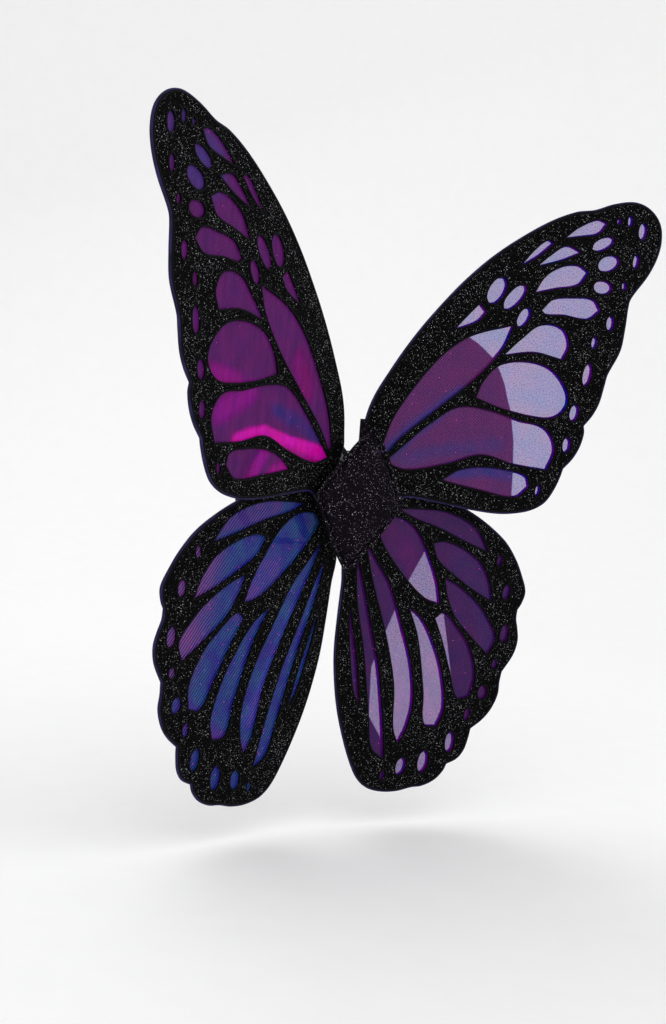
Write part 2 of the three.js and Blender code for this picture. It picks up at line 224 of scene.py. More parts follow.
# ---- outlines ------------------------------------------------------------------


def face_loops(sheet, to_plane, depth):
    """Closed outlines of a flat sheet's face at that depth, the largest first."""
    cut = bmesh.new()
    cut.from_mesh(sheet.data)
    cut.transform(to_plane)
    bmesh.ops.remove_doubles(cut, verts=cut.verts, dist=0.002 * MM)
    flat = {f for f in cut.faces if all(abs(v.co.y - depth) < 0.05 * MM for v in f.verts)}
    rims = [e for e in cut.edges if sum(f in flat for f in e.link_faces) == 1]
    loops = chained(rims)
    cut.free()
    return sorted(loops, key=lambda loop: -abs(area_of(loop)))


def chained(edges):
    """Edges joined end to end into closed loops of [x, z] points that turn left."""
    near = {}
    for edge in edges:
        a, b = edge.verts
        near.setdefault(a, []).append(b)
        near.setdefault(b, []).append(a)
    loops = []
    while near:
        start = next(iter(near))
        here, loop = start, []
        while here in near:
            loop.append(np.array((here.co.x, here.co.z)))
            ahead = [v for v in near.pop(here) if v in near]
            here = ahead[0] if ahead else None
        loops.append(loop if area_of(loop) > 0 else loop[::-1])
    return loops


def area_of(loop):
    """Signed area of a closed outline; positive when it turns left."""
    points = np.array(loop)
    onward = np.roll(points, -1, axis=0)
    return float(np.sum(points[:, 0] * onward[:, 1] - onward[:, 0] * points[:, 1]) / 2)


def turn_at(before, here, after):
    """Signed turn of a run of points at one of them, in degrees; left is positive."""
    a, b = here - before, after - here
    return math.degrees(math.atan2(a[0] * b[1] - a[1] * b[0], a[0] * b[0] + a[1] * b[1]))


def smooth(loop, left, right, step=2.0):
    """Closed curve through the points. A turn over left or right degrees stays a corner."""
    count = len(loop)
    turns = [turn_at(loop[i - 1], loop[i], loop[(i + 1) % count]) for i in range(count)]
    sharp = [turn > left or turn < -right for turn in turns]
    heading = [loop[(i + 1) % count] - loop[i - 1] for i in range(count)]
    points = []
    for i in range(count):
        j = (i + 1) % count
        chord = loop[j] - loop[i]
        length = float(np.linalg.norm(chord))
        start = chord if sharp[i] else heading[i] / np.linalg.norm(heading[i]) * length
        end = chord if sharp[j] else heading[j] / np.linalg.norm(heading[j]) * length
        steps = max(2, round(length / (step * MM)))
        points += [hermite(loop[i], loop[j], start, end, k / steps) for k in range(steps)]
    return points


def hermite(a, b, start, end, t):
    """Point at t, 0 to 1, of the curve from a to b that starts and ends in those directions."""
    return (
        (2 * t**3 - 3 * t**2 + 1) * a
        + (t**3 - 2 * t**2 + t) * start
        + (3 * t**2 - 2 * t**3) * b
        + (t**3 - t**2) * end
    )


def spline(points, step=2.0):
    """Smooth open curve through the points, with its end points kept."""
    ends = [2 * points[0] - points[1], *points, 2 * points[-1] - points[-2]]
    made = []
    for i in range(1, len(ends) - 2):
        chord = ends[i + 1] - ends[i]
        length = float(np.linalg.norm(chord))
        start = ends[i + 1] - ends[i - 1]
        end = ends[i + 2] - ends[i]
        start = start / np.linalg.norm(start) * length
        end = end / np.linalg.norm(end) * length
        steps = max(2, round(length / step))
        made += [hermite(ends[i], ends[i + 1], start, end, k / steps) for k in range(steps)]
    return [*made, points[-1]]


def outward(points, i, closed):
    """Unit mitre direction, to the right of the way the points run."""
    count = len(points)
    before = points[i - 1] if closed or i > 0 else points[i]
    after = points[(i + 1) % count] if closed or i < count - 1 else points[i]
    here = points[i]
    a = here - before if np.any(here != before) else after - here
    b = after - here if np.any(after != here) else a
    a, b = a / np.linalg.norm(a), b / np.linalg.norm(b)
    way = np.array((a[1] + b[1], -a[0] - b[0]))
    way = way / max(1e-9, np.linalg.norm(way))
    return way / max(0.6, way[0] * b[1] - way[1] * b[0])


def offset(points, distance):
    """Closed outline moved outwards by a distance."""
    return [p + outward(points, i, True) * distance for i, p in enumerate(points)]


# ---- mesh makers -----------------------------------------------------------------


def cut_sheet(name, loops, front, back, soft):
    """Flat sheet with holes between two depths, its edges softened."""
    curve = bpy.data.curves.new(name, "CURVE")
    curve.dimensions = "2D"
    curve.fill_mode = "BOTH"
    curve.extrude = (back - front) / 2 - soft
    curve.bevel_depth = soft
    curve.bevel_resolution = 0
    curve.offset = -soft
    for loop in loops:
        path = curve.splines.new("POLY")
        path.points.add(len(loop) - 1)
        path.points.foreach_set("co", [v for x, z in loop for v in (x, z, 0, 1)])
        path.use_cyclic_u = True
    mesh = as_mesh(curve, name)
    mesh.transform(Matrix.Translation((0, (front + back) / 2, 0)) @ Matrix.Rotation(math.pi / 2, 4, "X"))
    return mesh


def swept(name, points, section, closed=True):
    """Section of [out, depth] points carried along a run of [x, z] points."""
    rings = []
    for i, (x, z) in enumerate(points):
        way = outward(points, i, closed)
        rings.append([(x + way[0] * out, depth, z + way[1] * out) for out, depth in section])
    mesh = tube(name, rings, closed)
    mesh.shade_smooth()
    return mesh


def tube(name, rings, closed=False):
    """Rings of points joined one to the next; an open run gets flat ends."""
    size, count = len(rings[0]), len(rings)
    faces = []
    for i in range(count if closed else count - 1):
        a, b = i * size, (i + 1) % count * size
        faces += [(a + j, a + (j + 1) % size, b + (j + 1) % size, b + j) for j in range(size)]
    if not closed:
        last = (count - 1) * size
        faces += [tuple(range(size))[::-1], tuple(range(last, last + size))]
    mesh = bpy.data.meshes.new(name)
    mesh.from_pydata([point for ring in rings for point in ring], [], faces)
    faced_out(mesh)
    return mesh


def faced_out(mesh):
    """Turns every face outwards."""
    solid = bmesh.new()
    solid.from_mesh(mesh)
    bmesh.ops.recalc_face_normals(solid, faces=solid.faces)
    solid.to_mesh(mesh)
    solid.free()


def round_section(radius, count, depth=0.0):
    """Section of a cord or a wire, its middle at that depth."""
    turns = np.arange(count) * 2 * math.pi / count
    return [(radius * math.cos(t), depth + radius * math.sin(t)) for t in turns]


def half_round(width, height, base):
    """Section of a raised lip that stands towards the viewer from its base."""
    turns = np.linspace(0, math.pi, 7)
    dome = [(width / 2 * math.cos(t), base - height * math.sin(t)) for t in turns]
    return dome + [(-width / 2, base + 0.1 * MM), (width / 2, base + 0.1 * MM)]


def gridded(mesh, step, ripple):
    """Cuts a flat sheet into squares and lets it ripple a little in depth."""
    cut = bmesh.new()
    cut.from_mesh(mesh)
    for axis in (0, 2):
        low = min(v.co[axis] for v in cut.verts)
        high = max(v.co[axis] for v in cut.verts)
        normal = [0, 0, 0]
        normal[axis] = 1
        for k in range(1, int((high - low) / step)):
            place = [0, 0, 0]
            place[axis] = low + k * step
            everything = cut.verts[:] + cut.edges[:] + cut.faces[:]
            bmesh.ops.bisect_plane(cut, geom=everything, plane_co=place, plane_no=normal)
    for vert in cut.verts:
        wave = noise.noise(Vector((vert.co.x, 0, vert.co.z)) * 45)
        vert.co.y += ripple * wave
    bmesh.ops.recalc_face_normals(cut, faces=cut.faces)
    cut.to_mesh(mesh)
    cut.free()
    mesh.shade_smooth()


# ---- materials ---------------------------------------------------------------------


def node(tree, kind, settings=None, **inputs):
    """One shader node; an input is a value or another node's socket."""
    made = tree.nodes.new(kind)
    for key, value in (settings or {}).items():
        setattr(made, key, value)
    for key, value in inputs.items():
        socket = made.inputs[int(key[1:])] if key[1:].isdigit() else made.inputs[key.replace("_", " ")]
        if isinstance(value, bpy.types.NodeSocket):
            tree.links.new(value, socket)
        else:
            socket.default_value = value
    return made


def maths(tree, operation, a, b=0.0, c=0.0, clamp=False):
    """Output of one maths node."""
    settings = {"operation": operation, "use_clamp": clamp}
    return node(tree, "ShaderNodeMath", settings, i0=a, i1=b, i2=c).outputs[0]


def mix_colour(tree, share, a, b):
    """Colour a, with that share of colour b."""
    made = node(tree, "ShaderNodeMix", {"data_type": "RGBA"}, Factor=share)
    for socket, value in zip((made.inputs[6], made.inputs[7]), (a, b)):
        if isinstance(value, bpy.types.NodeSocket):
            tree.links.new(value, socket)
        else:
            socket.default_value = value
    return made.outputs[2]


def blank(name):
    """New material: its tree, its main shader and the object's own coordinates."""
    made = bpy.data.materials.new(name)
    made.use_nodes = True
    tree = made.node_tree
    shader = tree.nodes["Principled BSDF"]
    place = tree.nodes.new("ShaderNodeTexCoord").outputs["Object"]
    return made, tree, shader, place


def rgb(red, green, blue):
    """Linear colour from eight-bit display values."""
    return tuple((value / 255) ** 2.2 for value in (red, green, blue)) + (1,)


def bumped(tree, shader, height, distance, strength=1.0):
    """Gives a shader fine relief."""
    made = node(tree, "ShaderNodeBump", None, Height=height, Distance=distance, Strength=strength)
    tree.links.new(made.outputs[0], shader.inputs["Normal"])


def paper():
    """Plain pale backdrop paper."""
    made, tree, shader, place = blank("backdrop_paper")
    grain = node(tree, "ShaderNodeTexNoise", None, Vector=place, Scale=30.0, Detail=3.0)
    tone = mix_colour(tree, grain.outputs["Fac"], (0.93, 0.93, 0.93, 1), (0.96, 0.96, 0.96, 1))
    tree.links.new(tone, shader.inputs["Base Color"])
    shader.inputs["Roughness"].default_value = 0.9
    return made


# Flakes of glitter to a metre, by size.
FLAKES = {"big": 1050.0, "small": 1700.0, "dust": 3200.0}


def flakes(tree, place, scale, share, size, dimensions="3D"):
    """Mask of bright flakes: that share of the cells, each a round speck, and its random tone."""
    settings = {"voronoi_dimensions": dimensions}
    cells = node(tree, "ShaderNodeTexVoronoi", settings, Vector=place, Scale=scale, Randomness=1.0)
    tones = node(tree, "ShaderNodeSeparateColor", None, Color=cells.outputs["Color"])
    chosen = maths(tree, "LESS_THAN", tones.outputs[0], share)
    inside = maths(tree, "LESS_THAN", cells.outputs["Distance"], size)
    return maths(tree, "MULTIPLY", chosen, inside), tones.outputs[1]


def glitter(name, base, silver, share):
    """Black cloth covered in fine dark glitter with scattered bright flakes."""
    made, tree, shader, place = blank(name)
    patches = node(tree, "ShaderNodeTexNoise", None, Vector=place, Scale=38.0, Detail=3.0)
    patch = maths(tree, "MULTIPLY_ADD", patches.outputs["Fac"], 2.2 * share, -0.4 * share)
    big, big_tone = flakes(tree, place, FLAKES["big"], maths(tree, "MULTIPLY", patch, 0.8), 0.40)
    small, small_tone = flakes(tree, place, FLAKES["small"], maths(tree, "MULTIPLY", patch, 2.6), 0.5)
    fine = node(tree, "ShaderNodeTexVoronoi", None, Vector=place, Scale=FLAKES["dust"])
    fine_tone = node(tree, "ShaderNodeSeparateColor", None, Color=fine.outputs["Color"]).outputs[0]
    dust = maths(tree, "MULTIPLY", maths(tree, "POWER", fine_tone, 8.0), 0.025)
    small_shine = maths(tree, "MULTIPLY", small, maths(tree, "POWER", small_tone, 2.1))
    big_shine = maths(tree, "MULTIPLY", big, maths(tree, "POWER", big_tone, 0.8))
    tone = base
    for shine in (dust, small_shine, big_shine):
        tone = mix_colour(tree, shine, tone, silver)
    tree.links.new(tone, shader.inputs["Base Color"])
    flake = maths(tree, "MAXIMUM", big, small)
    tree.links.new(maths(tree, "MULTIPLY_ADD", flake, -0.4, 0.72), shader.inputs["Roughness"])
    shader.inputs["Specular IOR Level"].default_value = 0.02
    bumped(tree, shader, fine_tone, 0.08 * MM, 0.6)
    return made


def satin(name, colour, roughness):
    """Smooth woven edging with a faint grain."""
    made, tree, shader, place = blank(name)
    grain = node(tree, "ShaderNodeTexNoise", None, Vector=place, Scale=900.0, Detail=2.0)
    lighter = tuple(min(1, 1.9 * c) for c in colour[:3]) + (1,)
    tree.links.new(mix_colour(tree, grain.outputs["Fac"], colour, lighter), shader.inputs["Base Color"])
    shader.inputs["Roughness"].default_value = roughness
    shader.inputs["Specular IOR Level"].default_value = 0.06
    bumped(tree, shader, grain.outputs["Fac"], 0.05 * MM, 0.5)
    return made


def ribs(tree, place, angle, pitch):
    """Fine parallel ribs in the plane of the wing, 0 to 1 across each."""
    parts = node(tree, "ShaderNodeSeparateXYZ", None, Vector=place)
    along = maths(tree, "MULTIPLY", parts.outputs[0], math.cos(angle) * 2 * math.pi / pitch)
    across = maths(tree, "MULTIPLY", parts.outputs[2], math.sin(angle) * 2 * math.pi / pitch)
    wobble = node(tree, "ShaderNodeTexNoise", None, Vector=place, Scale=60.0, Detail=1.0)
    phase = maths(tree, "MULTIPLY_ADD", wobble.outputs["Fac"], 5.0, maths(tree, "ADD", along, across))
    return maths(tree, "MULTIPLY_ADD", maths(tree, "SINE", phase), 0.5, 0.5)


def in_plane(tree, place):
    """Coordinates in the plane of the wing, for flat patterns."""
    parts = node(tree, "ShaderNodeSeparateXYZ", None, Vector=place)
    return node(tree, "ShaderNodeCombineXYZ", None, X=parts.outputs[0], Y=parts.outputs[2]).outputs[0]


def painted_crease_light(tree, place):
    """Painted light and shade along long soft crease lines that run down the wing, about 0.5 in the middle.
    """
    turned = node(tree, "ShaderNodeMapping", None, Vector=place, Rotation=(0, math.radians(28), 0))
    turned.inputs["Scale"].default_value = (190, 1, 26)
    soft = node(tree, "ShaderNodeTexNoise", None, Vector=turned.outputs[0], Scale=1.0, Detail=2.0)
    return soft.outputs["Fac"]


def pale_share(tree):
    """1 where the film is paler and more see-through, with a crisp edge."""
    depth = node(tree, "ShaderNodeAttribute", {"attribute_name": "pale"}).outputs["Fac"]
    return maths(tree, "MULTIPLY_ADD", depth, 1 / PALE_EDGE, 0.5, clamp=True)


def film_ground(tree, place, name, pale):
    """The film's colour and density before its weave, with the pale zone mixed in."""
    tint = node(tree, "ShaderNodeVertexColor", {"layer_name": "tint"})
    ground, density = tint.outputs["Color"], tint.outputs["Alpha"]
    if name not in PALE_ZONES:
        return ground, density
    _, pale_colour, pale_density = PALE_ZONES[name]
    blush = node(tree, "ShaderNodeTexNoise", None, Vector=place, Scale=42.0, Detail=2.0)
    blush = maths(tree, "MULTIPLY_ADD", blush.outputs["Fac"], 2.6, -1.1, clamp=True)
    lilac = mix_colour(tree, blush, rgb(*pale_colour), rgb(*BLUSH))
    thinner = maths(tree, "SUBTRACT", pale_density, density)
    return mix_colour(tree, pale, ground, lilac), maths(tree, "MULTIPLY_ADD", thinner, pale, density)


def shot_weave(tree, place, ground, pale, rib, weave):
    """The ground colour turned in hue by soft clouds, shaded by its ribs, with painted light and shade
    along each crease.
    """
    contrast = maths(tree, "MULTIPLY_ADD", pale, -0.9 * weave["ribs"], weave["ribs"])
    ribbed = maths(tree, "MULTIPLY_ADD", maths(tree, "SUBTRACT", rib, 0.5), contrast, 1.0)
    crease_light_strength = weave["painted_crease_light"]
    # Painted light and shade: brighter and darker bands along each crease.
    painted_crease_tone = maths(tree, "MULTIPLY_ADD", painted_crease_light(tree, place), crease_light_strength, 1 - crease_light_strength / 2)
    cloud = node(tree, "ShaderNodeTexNoise", None, Vector=place, Scale=55.0, Detail=4.0)
    shot = node(tree, "ShaderNodeHueSaturation", None, Color=ground, Saturation=1.05)
    tree.links.new(maths(tree, "MULTIPLY_ADD", cloud.outputs["Fac"], -0.13, 0.565), shot.inputs["Hue"])
    tree.links.new(maths(tree, "MULTIPLY", ribbed, painted_crease_tone), shot.inputs["Value"])
    return shot.outputs[0]


def film(name):
    """Shot organza: a see-through violet film with ribs, pin pricks and coloured dust, painted iridescent
    sheen, and painted light and shade along each crease.
    """
    made, tree, shader, place = blank(f"{name}_organza")
    weave = WEAVE[name]
    pale = pale_share(tree) if name in PALE_ZONES else 0.0
    ground, density = film_ground(tree, place, name, pale)
    rib = ribs(tree, place, math.radians(RIB_ANGLE), weave["pitch"] * MM)
    tone = shot_weave(tree, place, ground, pale, rib, weave)
    flat = in_plane(tree, place)
    prick, _ = flakes(tree, flat, PRICKS["scale"], PRICKS["share"], PRICKS["size"], "2D")
    prick = maths(tree, "MULTIPLY", prick, maths(tree, "MULTIPLY_ADD", pale, 0.5, 0.12))
    tone = mix_colour(tree, prick, tone, rgb(*PRICKS["colour"]))
    dust, dust_tone = flakes(tree, flat, DUST["scale"], weave["dust"], DUST["size"], "2D")
    spark = mix_colour(tree, dust_tone, rgb(*DUST["pink"]), rgb(*DUST["violet"]))
    tone = mix_colour(tree, maths(tree, "MULTIPLY", dust, 0.8), tone, spark)
    tree.links.new(tone, shader.inputs["Base Color"])
    shader.inputs["Roughness"].default_value = 0.42
    shader.inputs["Specular IOR Level"].default_value = 0.05
    tree.links.new(maths(tree, "MULTIPLY_ADD", prick, 0.3, density, clamp=True), shader.inputs["Alpha"])
    bumped(tree, shader, rib, 0.12 * MM, 0.6)
    return made


def iridescent_edge(name):
    """Rolled film edge in clouds of dark blue and violet."""
    made, tree, shader, place = blank(name)
    cloud = node(tree, "ShaderNodeTexNoise", None, Vector=place, Scale=70.0, Detail=3.0)
    share = maths(tree, "MULTIPLY_ADD", cloud.outputs["Fac"], 2.4, -0.7, clamp=True)
    tone = mix_colour(tree, share, rgb(14, 15, 36), rgb(48, 41, 84))
    tree.links.new(tone, shader.inputs["Base Color"])
    shader.inputs["Roughness"].default_value = 0.5
    shader.inputs["Specular IOR Level"].default_value = 0.12
    return made


def steel():
    """Drawn steel wire."""
    made, tree, shader, place = blank("wire_steel")
    drawn = node(tree, "ShaderNodeTexNoise", None, Vector=place, Scale=400.0, Detail=2.0)
    tone = mix_colour(tree, drawn.outputs["Fac"], (0.30, 0.30, 0.32, 1), (0.48, 0.48, 0.50, 1))
    tree.links.new(tone, shader.inputs["Base Color"])
    shader.inputs["Metallic"].default_value = 0.9
    shader.inputs["Roughness"].default_value = 0.35
    return made


def woven(name, colour, thread):
    """Plain weave from two crossed sets of threads, with the raised threads painted lighter and the hollows
    between them painted darker, as painted light and shade.
    """
    made, tree, shader, place = blank(name)
    parts = node(tree, "ShaderNodeSeparateXYZ", None, Vector=place)
    pitch = 2 * math.pi / (thread * MM)
    warp = maths(tree, "SINE", maths(tree, "MULTIPLY", parts.outputs[0], pitch))
    weft = maths(tree, "SINE", maths(tree, "MULTIPLY", parts.outputs[2], pitch))
    weave = maths(tree, "MULTIPLY", warp, weft)
    height = maths(tree, "MULTIPLY_ADD", weave, 0.5, 0.5)
    # Painted light and shade: the colour turns lighter on the raised threads and darker in the hollows.
    lighter = tuple(min(1, 2.4 * c) for c in colour[:3]) + (1,)
    tree.links.new(mix_colour(tree, height, colour, lighter), shader.inputs["Base Color"])
    shader.inputs["Roughness"].default_value = 0.85
    shader.inputs["Sheen Weight"].default_value = 0.05
    shader.inputs["Specular IOR Level"].default_value = 0.2
    bumped(tree, shader, height, 0.12 * MM, 0.8)
    return made


def elastic():
    """Woven elastic: ribs along the strap and fine cross threads, by its own run, with painted light on the
    raised threads and painted shade in the hollows.
    """
    made, tree, shader, _ = blank("strap_elastic_weave")
    run = node(tree, "ShaderNodeUVMap", {"uv_map": "run"})
    parts = node(tree, "ShaderNodeSeparateXYZ", None, Vector=run.outputs[0])
    along = maths(tree, "SINE", maths(tree, "MULTIPLY", parts.outputs[0], 2 * math.pi / 1.25))
    across = maths(tree, "SINE", maths(tree, "MULTIPLY", parts.outputs[1], 2 * math.pi / 0.7))
    height = maths(tree, "MULTIPLY_ADD", across, 0.15, maths(tree, "MULTIPLY_ADD", along, 0.35, 0.5))
    # Painted light and shade: lighter where the weave stands up, darker in its hollows.
    tone = mix_colour(tree, height, (0.006, 0.006, 0.007, 1), (0.03, 0.03, 0.034, 1))
    tree.links.new(tone, shader.inputs["Base Color"])
    shader.inputs["Roughness"].default_value = 0.75
    shader.inputs["Sheen Weight"].default_value = 0.2
    bumped(tree, shader, height, 0.2 * MM, 0.7)
    return made


def plastic():
    """Black moulded plastic."""
    made, tree, shader, place = blank("adjuster_plastic_moulded")
    grain = node(tree, "ShaderNodeTexNoise", None, Vector=place, Scale=1500.0, Detail=2.0)
    tone = mix_colour(tree, grain.outputs["Fac"], (0.008, 0.008, 0.009, 1), (0.016, 0.016, 0.018, 1))
    tree.links.new(tone, shader.inputs["Base Color"])
    shader.inputs["Roughness"].default_value = 0.38
    bumped(tree, shader, grain.outputs["Fac"], 0.03 * MM, 0.5)
    return made


# ---- tints of the films --------------------------------------------------------------

# Colour of the painted magenta highlights on the film.
HIGHLIGHT_MAGENTA = (192, 0, 152)
BLUSH = (112, 34, 138)
# Width of the border of a pale zone, in millimetres.
PALE_EDGE = 1.0
RIB_ANGLE = 145
PRICKS = {"scale": 500.0, "share": 0.9, "size": 0.18, "colour": (40, 24, 70)}
DUST = {"scale": 560.0, "size": 0.24, "pink": (255, 40, 160), "violet": (180, 70, 220)}

# The rib pitch of each film in millimetres, and how strongly ribs, the painted light and shade of each
# crease, and dust show.
WEAVE = {
    "upper_left": {"pitch": 2.2, "ribs": 0.15, "painted_crease_light": 0.9, "dust": 0.002},
    "lower_left": {"pitch": 2.5, "ribs": 1.5, "painted_crease_light": 0.25, "dust": 0.016},
    "upper_right": {"pitch": 2.0, "ribs": 0.9, "painted_crease_light": 0.25, "dust": 0.005},
    "lower_right": {"pitch": 2.1, "ribs": 0.5, "painted_crease_light": 0.4, "dust": 0.01},
}
# Each film's ground colour and density; the colour is the film's own violet turned to each wing's painted
# iridescent sheen.
GROUND_AND_SHEEN = {
    "upper_left": ((84, 32, 92), 0.995),
    "lower_left": ((42, 54, 116), 0.985),
    "upper_right": ((82, 32, 88), 0.98),
    "lower_right": ((58, 22, 78), 0.985),
}
# Streaks of painted iridescent sheen, where each film shines another colour; the magenta ones
# are painted highlights. Each has its run of points (x outwards, height), its half width and softness, and
# its colour.
SHEEN_STREAKS = {
    "upper_left": [
        ([(18, 48), (50, 60), (84, 68)], 1, 10, (62, 42, 106)),
        ([(196, 240), (240, 270)], 14, 20, (70, 50, 110)),
        ([(44, 88), (58, 108)], 3, 14, (110, 16, 100)),
        ([(168, 90), (140, 86)], 3, 10, (124, 16, 116)),
        ([(158, 62), (120, 80)], 3, 12, (120, 16, 118)),
        # Painted magenta highlights along the lower edge of the opening by the root.
        ([(2, 30), (30, 35), (56, 38)], 8, 4, HIGHLIGHT_MAGENTA),
        ([(56, 40), (76, 44), (98, 48)], 5, 4, HIGHLIGHT_MAGENTA),
        ([(98, 49), (118, 46), (134, 41)], 3, 6, HIGHLIGHT_MAGENTA),
        ([(22, 27), (44, 30), (66, 36)], 1, 8, (138, 2, 112)),
        ([(45, 25), (80, 14)], 6, 9, (142, 8, 126)),
        ([(96, 34), (112, 12)], 2, 8, (130, 12, 120)),
    ],
    "lower_left": [
        ([(142, -54), (144, -92), (154, -140)], 6, 36, (92, 58, 116)),
        ([(130, -178), (92, -206), (62, -218)], 3, 14, (72, 46, 122)),
        ([(60, -9), (113, -24)], 3, 9, (70, 52, 118)),
        ([(82, -92), (60, -60)], 4, 18, (66, 54, 124)),
        ([(56, -190), (40, -150), (20, -100)], 2, 9, (58, 58, 136)),
    ],
    "upper_right": [
        ([(12, 44), (36, 68), (72, 98)], 2, 10, (52, 44, 108)),
        ([(24, 36), (66, 50), (112, 56)], 1, 10, (70, 40, 98)),
        ([(70, 31), (100, 35), (128, 33)], 3, 8, (56, 42, 108)),
    ],
    "lower_right": [
        ([(22, -28), (44, -46), (56, -66)], 4, 12, (70, 20, 82)),
        ([(96, -44), (124, -78), (138, -128)], 2, 14, (56, 28, 82)),
    ],
}
# Where a film is painted paler and more see-through: the outline (x outwards, height), the colour and the
# density.
PALE_ZONES = {
    "upper_right": (
        [
            (40, 160), (78, 149), (86, 145), (93, 140), (102, 133), (109, 123), (115, 111), (119, 98),
            (123, 88), (128, 62), (130, 34), (131, -20), (300, -20), (300, 320), (40, 320),
        ],
        (62, 32, 152), 0.67,
    ),
    "lower_right": (
        [
            (62, -38), (73, -50), (84, -77), (89, -103), (95, -123), (106, -161), (119, -222), (96, -251),
            (49, -249), (38, -213), (24, -194), (20, -149), (29, -119), (38, -93), (48, -67),
        ],
        (82, 30, 128), 0.79,
    ),
}


def distance_to_run(spots, run):
    """Distance from each place to a run of points, in the plane."""
    nearest_yet = np.full(len(spots), np.inf)
    for a, b in zip(np.array(run[:-1], dtype=float), np.array(run[1:], dtype=float)):
        share = np.clip((spots - a) @ (b - a) / np.dot(b - a, b - a), 0, 1)
        away = np.linalg.norm(spots - a - np.outer(share, b - a), axis=1)
        nearest_yet = np.minimum(nearest_yet, away)
    return nearest_yet


def depth_inside(spots, outline):
    """Distance of each place from a closed outline, negative outside it."""
    x, z = spots.T
    inside = np.zeros(len(spots), dtype=bool)
    for (ax, az), (bx, bz) in zip(outline, outline[1:] + outline[:1]):
        if az != bz:
            crossing = ax + (z - az) * (bx - ax) / (bz - az)
            inside ^= ((az > z) != (bz > z)) & (x < crossing)
    away = distance_to_run(spots, outline + outline[:1])
    return np.where(inside, away, -away)


def eased(value):
    """0 to 1 with a soft start and end."""
    value = np.clip(value, 0, 1)
    return value * value * (3 - 2 * value)


def paint_tint(mesh, name, side):
    """Stores each point's colour, with its streaks of painted sheen and highlight, its density, and how
    deep in the pale zone it lies.
    """
    spots = np.array([(side * vert.co.x / MM, vert.co.z / MM) for vert in mesh.vertices])
    ground, density = GROUND_AND_SHEEN[name]
    tints = np.tile((*rgb(*ground)[:3], density), (len(spots), 1))
    # Streaks of painted iridescent sheen and painted highlight over the ground colour.
    for run, half, soft, sheen_tone in SHEEN_STREAKS[name]:
        weight = eased(1 + (half - distance_to_run(spots, run)) / soft)[:, None]
        tints[:, :3] += (np.array(rgb(*sheen_tone)[:3]) - tints[:, :3]) * weight
    mesh.color_attributes.new("tint", "FLOAT_COLOR", "POINT").data.foreach_set("color", tints.ravel())
    if name in PALE_ZONES:
        depths = depth_inside(spots, PALE_ZONES[name][0])
        mesh.attributes.new("pale", "FLOAT", "POINT").data.foreach_set("value", depths)


# ---- wings ---------------------------------------------------------------------------


def wing(level, word):
    """One wing, from the outlines of its two CAD sheets."""
    shape, side = WINGS[level], SIDES[word]
    name = f"{level}_{word}"
    to_row = plane_of(shape, side)

    def put(suffix, mesh, slot, material, replaced=None):
        piece = link(f"{name}_{suffix}", mesh)
        piece.matrix_world = to_row
        if replaced:
            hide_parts(f"{name}_{replaced}")
        return finished(piece, f"{name}_wing", material)

    to_plane = to_row.inverted()
    outer = OVERLAY["outer"] * MM
    front = face_loops(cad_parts[name + "_front_overlay"], to_plane, -outer)
    rear = face_loops(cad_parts[name + "_rear_overlay"], to_plane, outer)
    outline = smooth(front[0], **CORNERS["outline"])
    openings = [smooth(loop, **CORNERS["opening"]) for loop in front[1:]]
    shift = np.array(REAR_SHIFT) * MM
    rear_openings = [[p + shift for p in smooth(loop, **CORNERS["opening"])] for loop in rear[1:]]
    add_glitter(put, name, [outline, *openings], [outline, *rear_openings])
    add_lips(put, name, outline, openings)
    put("rolled_edge", edge_mesh(name, outline), "edge_film", LOOKS["edge"], "edge_binding")
    add_film(put, name, side, outline)
    add_wire(put, name, side, offset(outline, -WIRE["inset"] * MM), shape["hinge"])


def add_glitter(put, name, front_loops, rear_loops):
    """Glitter sheets on both sides of the wing."""
    inner, outer, soft = (OVERLAY[key] * MM for key in ("inner", "outer", "soft"))
    sheet = cut_sheet(name, front_loops, -outer, -inner, soft)
    put("front_glitter", sheet, "black_glitter", LOOKS["glitter"], "front_overlay")
    sheet = cut_sheet(name, rear_loops, inner, outer, soft)
    put("rear_glitter", sheet, "black_glitter", LOOKS["glitter"], "rear_overlay")


def add_lips(put, name, outline, openings):
    """Raised lip round every opening and inside the rim."""
    half = LIP["width"] / 2 * MM
    section = half_round(LIP["width"] * MM, LIP["height"] * MM, -OVERLAY["outer"] * MM)
    lips = [swept(name, offset(loop, half), section) for loop in openings]
    lips.append(swept(name, offset(outline, -half), section))
    put("lips", joined(lips), "black_glitter", LOOKS["lip"])


def add_film(put, name, side, outline):
    """The see-through film, stretched on the wire."""
    edge = offset(outline, -FILM_INSET * MM)
    mesh = cut_sheet(name, [edge], -0.01 * MM, 0.01 * MM, 0)
    keep_front(mesh)
    gridded(mesh, FILM_GRID * MM, FILM_RIPPLE * MM)
    paint_tint(mesh, name, side)
    piece = put("organza", mesh, "iridescent_film", film(name), "film")


def keep_front(mesh):
    """Leaves one face of a flat sheet."""
    cut = bmesh.new()
    cut.from_mesh(mesh)
    gone = [f for f in cut.faces if f.calc_center_median().y > -0.005 * MM]
    bmesh.ops.delete(cut, geom=gone, context="FACES")
    for vert in cut.verts:
        vert.co.y = 0
    cut.to_mesh(mesh)
    cut.free()


def edge_mesh(name, outline):
    """Rolled edge that wraps the rim of both overlays."""
    inner, outer, half, bulge = (BINDING[key] * MM for key in ("inner", "outer", "half", "bulge"))
    section = [(inner, -half), (outer * 0.7, -bulge * 1.1), (outer, -bulge * 0.5), (outer, bulge * 0.5)]
    section += [(outer * 0.7, bulge * 1.1), (inner, half)]
    return swept(name, outline, section)


